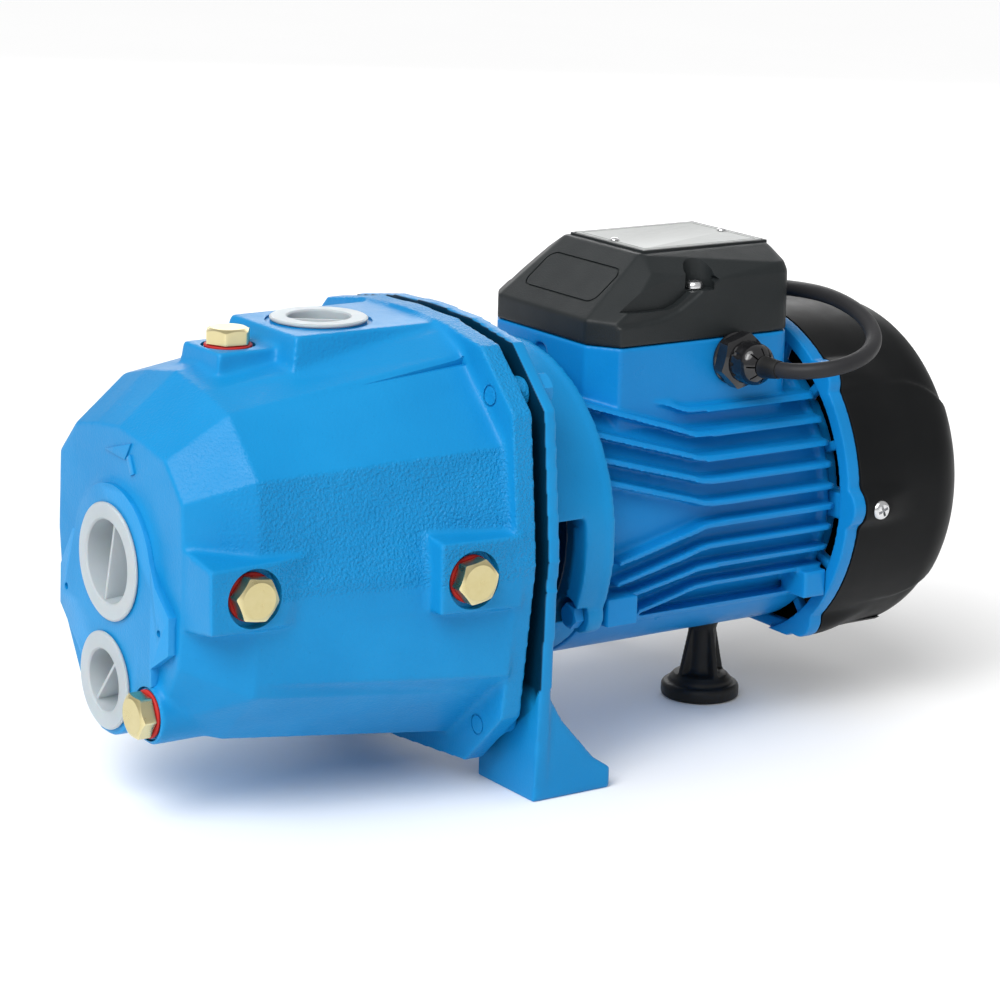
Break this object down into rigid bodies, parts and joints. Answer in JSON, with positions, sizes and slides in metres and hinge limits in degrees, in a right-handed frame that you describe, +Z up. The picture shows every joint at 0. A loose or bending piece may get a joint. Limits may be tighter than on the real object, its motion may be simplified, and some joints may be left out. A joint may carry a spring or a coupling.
{
  "type": "jet pump",
  "caption": "Electric jet pump: faceted blue cast casing with two front ports and a top outlet, footed bracket, finned motor with fan cover, terminal box and mains lead.",
  "frame": {"origin": "on the floor under the middle of the pump, its free cord left out", "axes": "+X along the shaft from the ports to the fan cover, +Y to the far side, +Z up"},
  "size_m": [0.4038, 0.3198, 0.2184],
  "materials": {
    "pump_paint": "bright blue gloss paint over sand cast iron",
    "motor_paint": "smooth deeper blue paint over die cast aluminium",
    "zinc_brass": "yellow passivated hexagon plugs",
    "red_washer": "red sealing washers",
    "clear_white": "milky translucent polyethylene",
    "black_plastic": "satin black moulded plastic",
    "gloss_black": "glossy black nylon",
    "cable_black": "matt black cable sheath",
    "foot_rubber": "black rubber",
    "bright_steel": "bright steel",
    "plate_aluminium": "plain brushed aluminium plate with no marking",
    "lamination": "stacked electrical steel",
    "copper_winding": "varnished copper wire",
    "ceramic": "pale ceramic and thermoset"
  },
  "bodies": {
    "pump_and_motor": {"pump_casing": "pump_paint", "casing_seal_ring": "foot_rubber", "clamp_bolt_1": "pump_paint", "clamp_bolt_2": "pump_paint", "clamp_bolt_3": "pump_paint", "clamp_bolt_4": "pump_paint", "diffuser": "black_plastic", "seal_seat": "ceramic", "bracket": "pump_paint", "tie_bolt_1": "motor_paint", "tie_bolt_2": "motor_paint", "tie_bolt_3": "motor_paint", "tie_bolt_4": "motor_paint", "motor_housing": "motor_paint", "stator_core": "lamination", "winding_front": "copper_winding", "winding_rear": "copper_winding", "front_bearing_outer": "bright_steel", "front_bearing_balls": "bright_steel", "rear_bearing_outer": "bright_steel", "rear_bearing_balls": "bright_steel", "rear_end_shield": "motor_paint", "fan_cover": "black_plastic", "cover_screw_near": "bright_steel", "cover_screw_far": "bright_steel", "terminal_block": "ceramic", "capacitor": "black_plastic", "gland_body": "gloss_black", "gland_nut": "gloss_black", "cord_run": "cable_black", "cord_coil": "cable_black", "mains_plug": "black_plastic", "rear_foot": "foot_rubber"},
    "rotor": {"shaft": "bright_steel", "rotor_core": "lamination", "impeller": "zinc_brass", "impeller_nut": "bright_steel", "cooling_fan": "black_plastic", "seal_head": "foot_rubber", "front_bearing_inner": "bright_steel", "rear_bearing_inner": "bright_steel"},
    "suction_cap_body": {"suction_cap": "clear_white"},
    "drive_cap_body": {"drive_port_cap": "clear_white"},
    "discharge_cap_body": {"discharge_cap": "clear_white"},
    "priming_plug_body": {"priming_plug": "zinc_brass", "priming_washer": "red_washer"},
    "drain_plug_body": {"drain_plug": "zinc_brass", "drain_washer": "red_washer"},
    "gauge_front_body": {"gauge_plug_front": "zinc_brass", "gauge_washer_front": "red_washer"},
    "gauge_rear_body": {"gauge_plug_rear": "zinc_brass", "gauge_washer_rear": "red_washer"},
    "terminal_lid": {"terminal_cover": "black_plastic", "nameplate": "plate_aluminium", "nameplate_rivet_1": "bright_steel", "nameplate_rivet_2": "bright_steel", "lid_screw_near": "bright_steel", "lid_screw_far": "bright_steel"}
  },
  "joints": [
    {"name": "rotor_spin", "type": "hinge", "parent": "pump_and_motor", "child": "rotor", "pos_m": [0.0579, 0.00205, 0.104], "axis": [1, 0, 0], "continuous": true},
    {"name": "suction_cap_pull", "type": "slide", "parent": "pump_and_motor", "child": "suction_cap_body", "axis": [-1, 0, 0], "range_m": [0, 0.045]},
    {"name": "drive_cap_pull", "type": "slide", "parent": "pump_and_motor", "child": "drive_cap_body", "axis": [-1, 0, 0], "range_m": [0, 0.045]},
    {"name": "discharge_cap_pull", "type": "slide", "parent": "pump_and_motor", "child": "discharge_cap_body", "axis": [0, 0, 1], "range_m": [0, 0.045]},
    {"name": "priming_plug_out", "type": "slide", "parent": "pump_and_motor", "child": "priming_plug_body", "axis": [0, 0, 1], "range_m": [0, 0.03]},
    {"name": "drain_plug_out", "type": "slide", "parent": "pump_and_motor", "child": "drain_plug_body", "axis": [-1, 0, 0], "range_m": [0, 0.03]},
    {"name": "gauge_plug_front_out", "type": "slide", "parent": "pump_and_motor", "child": "gauge_front_body", "axis": [0, -1, 0], "range_m": [0, 0.03]},
    {"name": "gauge_plug_rear_out", "type": "slide", "parent": "pump_and_motor", "child": "gauge_rear_body", "axis": [0, -1, 0], "range_m": [0, 0.03]},
    {"name": "lid_lift", "type": "slide", "parent": "pump_and_motor", "child": "terminal_lid", "axis": [0, 0, 1], "range_m": [0, 0.06]}
  ]
}
